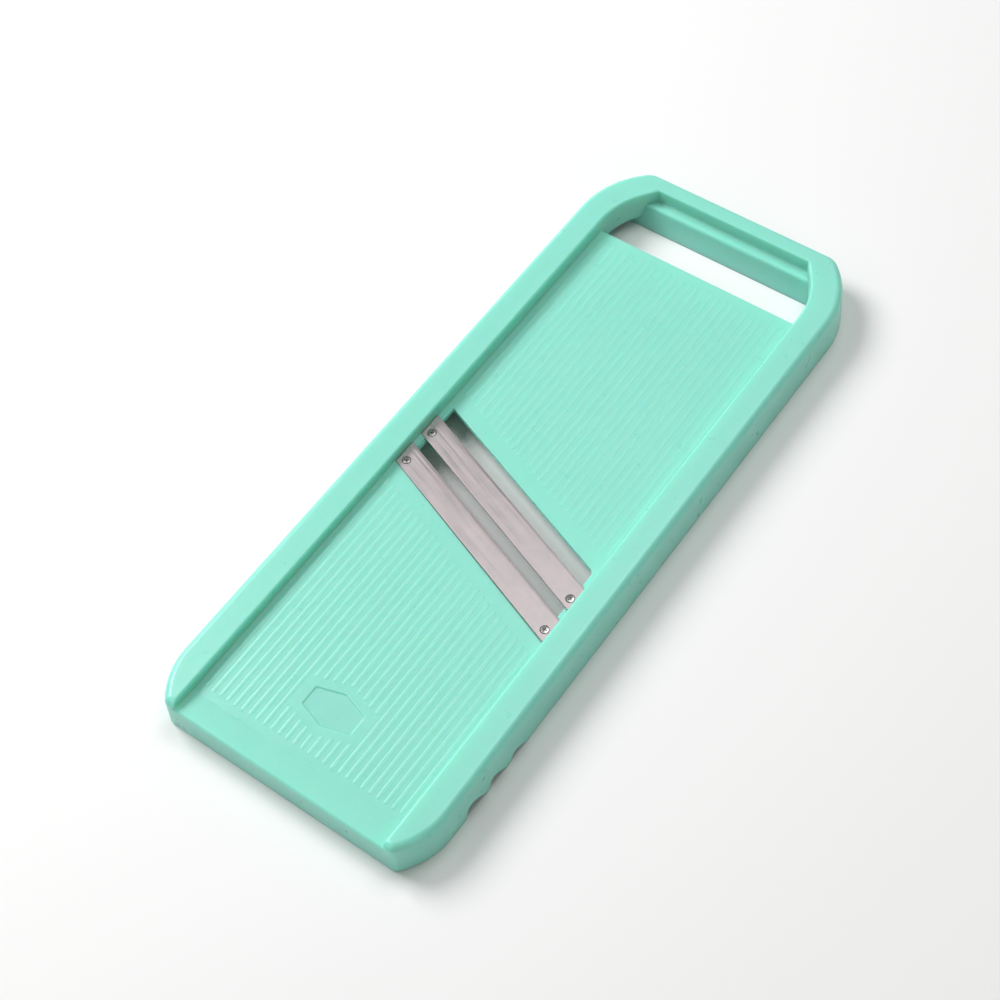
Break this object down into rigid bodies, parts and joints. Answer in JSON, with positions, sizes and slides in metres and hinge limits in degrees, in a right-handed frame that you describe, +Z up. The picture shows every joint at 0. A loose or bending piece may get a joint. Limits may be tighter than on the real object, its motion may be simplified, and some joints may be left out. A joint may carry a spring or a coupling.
{
  "type": "mandoline slicer",
  "caption": "Flat hand-held vegetable slicer: moulded tray with side rails, ribbed decks and a handle bar, and slanted steel blades screwed across it.",
  "frame": {"origin": "centre of the bounding box's bottom, on the surface that the tray stands on", "axes": "+Z up, +Y towards the handle bar, +X to the right when the front lip faces the viewer"},
  "size_m": [0.13, 0.333, 0.0182],
  "materials": {
    "mint_plastic": "semi-gloss moulded plastic, mint green",
    "blade_steel": "rolled and ground stainless steel",
    "screw_steel": "plain stainless screw"
  },
  "bodies": {
    "root": {"tray_body": "mint_plastic", "upper_blade": "blade_steel", "lower_blade": "blade_steel", "upper_blade_screw_left": "screw_steel", "upper_blade_screw_right": "screw_steel", "lower_blade_screw_left": "screw_steel", "lower_blade_screw_right": "screw_steel"}
  },
  "joints": []
}
